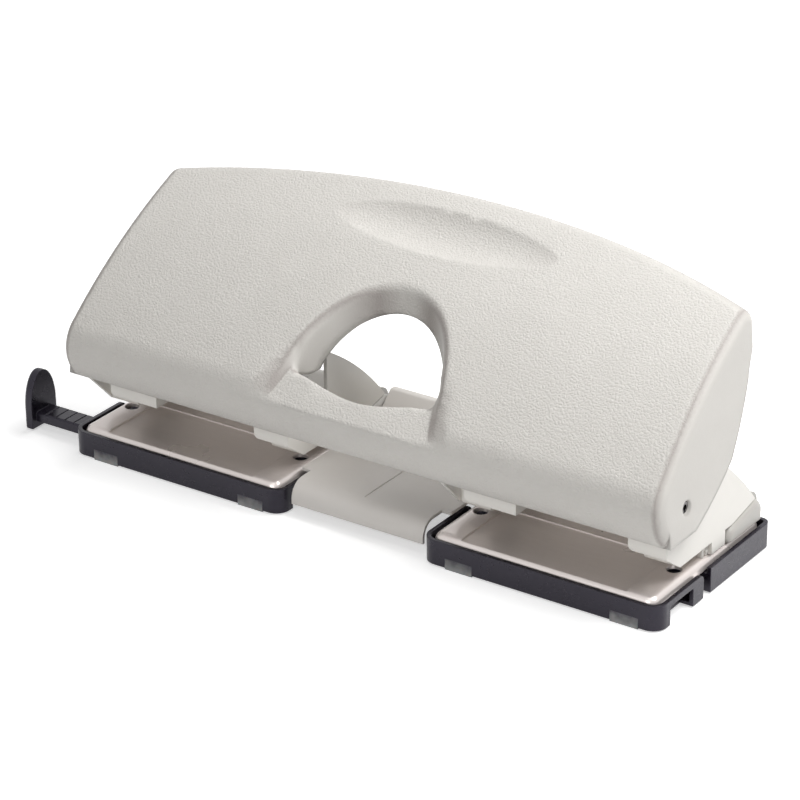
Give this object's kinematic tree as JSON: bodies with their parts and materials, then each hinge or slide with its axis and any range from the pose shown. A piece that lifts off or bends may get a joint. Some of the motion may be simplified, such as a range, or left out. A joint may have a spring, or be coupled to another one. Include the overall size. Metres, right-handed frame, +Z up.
{
  "type": "desk hole punch",
  "caption": "Desk punch for a row of filing holes: paired units on black trays under one long moulded lever with a finger hole, joined by a bridge plate, with a sliding paper guide.",
  "frame": {"origin": "middle of the footprint of the whole part, paper guide included, on the surface that it stands on", "axes": "+X along the punch towards the end without the paper guide, +Y to the rear, +Z up"},
  "size_m": [0.289, 0.0898, 0.1049],
  "materials": {
    "lever_plastic": "leather grain",
    "painted_steel": "satin",
    "cream_plastic": "satin",
    "bridge_grey": "satin",
    "black_plastic": "satin",
    "steel": "turned",
    "punch_steel": "ground",
    "spring_steel": "drawn",
    "foot_rubber": "matte"
  },
  "bodies": {
    "base": {"paper_table_left": "painted_steel", "paper_table_right": "painted_steel", "rear_base_left": "black_plastic", "rear_base_right": "black_plastic", "rear_cover_left": "cream_plastic", "rear_cover_right": "cream_plastic", "punch_frame_left": "painted_steel", "punch_frame_right": "painted_steel", "punch_guide_left": "painted_steel", "punch_guide_right": "painted_steel", "axle_left": "steel", "axle_right": "steel", "bridge_plate": "bridge_grey", "axle_clips": "spring_steel", "frame_rivets": "steel", "base_screws": "steel", "rear_feet": "foot_rubber", "return_spring_1": "spring_steel", "return_spring_2": "spring_steel", "return_spring_3": "spring_steel", "return_spring_4": "spring_steel"},
    "lever": {"lever_shell": "lever_plastic", "press_bar_left": "steel", "press_bar_right": "steel"},
    "punch_1": {"punch_1": "punch_steel", "punch_clip_1": "spring_steel"},
    "punch_2": {"punch_2": "punch_steel", "punch_clip_2": "spring_steel"},
    "punch_3": {"punch_3": "punch_steel", "punch_clip_3": "spring_steel"},
    "punch_4": {"punch_4": "punch_steel", "punch_clip_4": "spring_steel"},
    "chip_tray_left": {"chip_tray_left": "black_plastic", "front_feet_left": "foot_rubber"},
    "chip_tray_right": {"chip_tray_right": "black_plastic", "front_feet_right": "foot_rubber"},
    "paper_guide": {"paper_guide": "black_plastic"}
  },
  "joints": [
    {"name": "lever_pivot", "type": "hinge", "parent": "base", "child": "lever", "pos_m": [0.01345, -0.02735, 0.0429], "axis": [-1, 0, 0], "range_deg": [0, 36], "stiffness_Nm_per_rad": 0.6, "springref_deg": -14.32},
    {"name": "punch_1_slide", "type": "slide", "parent": "base", "child": "punch_1", "axis": [0, 0, -1], "range_m": [0, 0.0068], "deforming": ["return_spring_1"]},
    {"name": "punch_2_slide", "type": "slide", "parent": "base", "child": "punch_2", "axis": [0, 0, -1], "range_m": [0, 0.0068], "deforming": ["return_spring_2"]},
    {"name": "punch_3_slide", "type": "slide", "parent": "base", "child": "punch_3", "axis": [0, 0, -1], "range_m": [0, 0.0068], "deforming": ["return_spring_3"]},
    {"name": "punch_4_slide", "type": "slide", "parent": "base", "child": "punch_4", "axis": [0, 0, -1], "range_m": [0, 0.0068], "deforming": ["return_spring_4"]},
    {"name": "chip_tray_left_slide", "type": "slide", "parent": "base", "child": "chip_tray_left", "axis": [0, -1, 0], "range_m": [0, 0.024]},
    {"name": "chip_tray_right_slide", "type": "slide", "parent": "base", "child": "chip_tray_right", "axis": [0, -1, 0], "range_m": [0, 0.024]},
    {"name": "paper_guide_slide", "type": "slide", "parent": "chip_tray_left", "child": "paper_guide", "axis": [1, 0, 0], "range_m": [-0.045, 0.0235]}
  ],
  "couplings": [
    {"joint": "punch_1_slide", "follows": "lever_pivot", "m_per_rad": 0.010808},
    {"joint": "punch_2_slide", "follows": "lever_pivot", "m_per_rad": 0.010808},
    {"joint": "punch_3_slide", "follows": "lever_pivot", "m_per_rad": 0.010808},
    {"joint": "punch_4_slide", "follows": "lever_pivot", "m_per_rad": 0.010808}
  ]
}
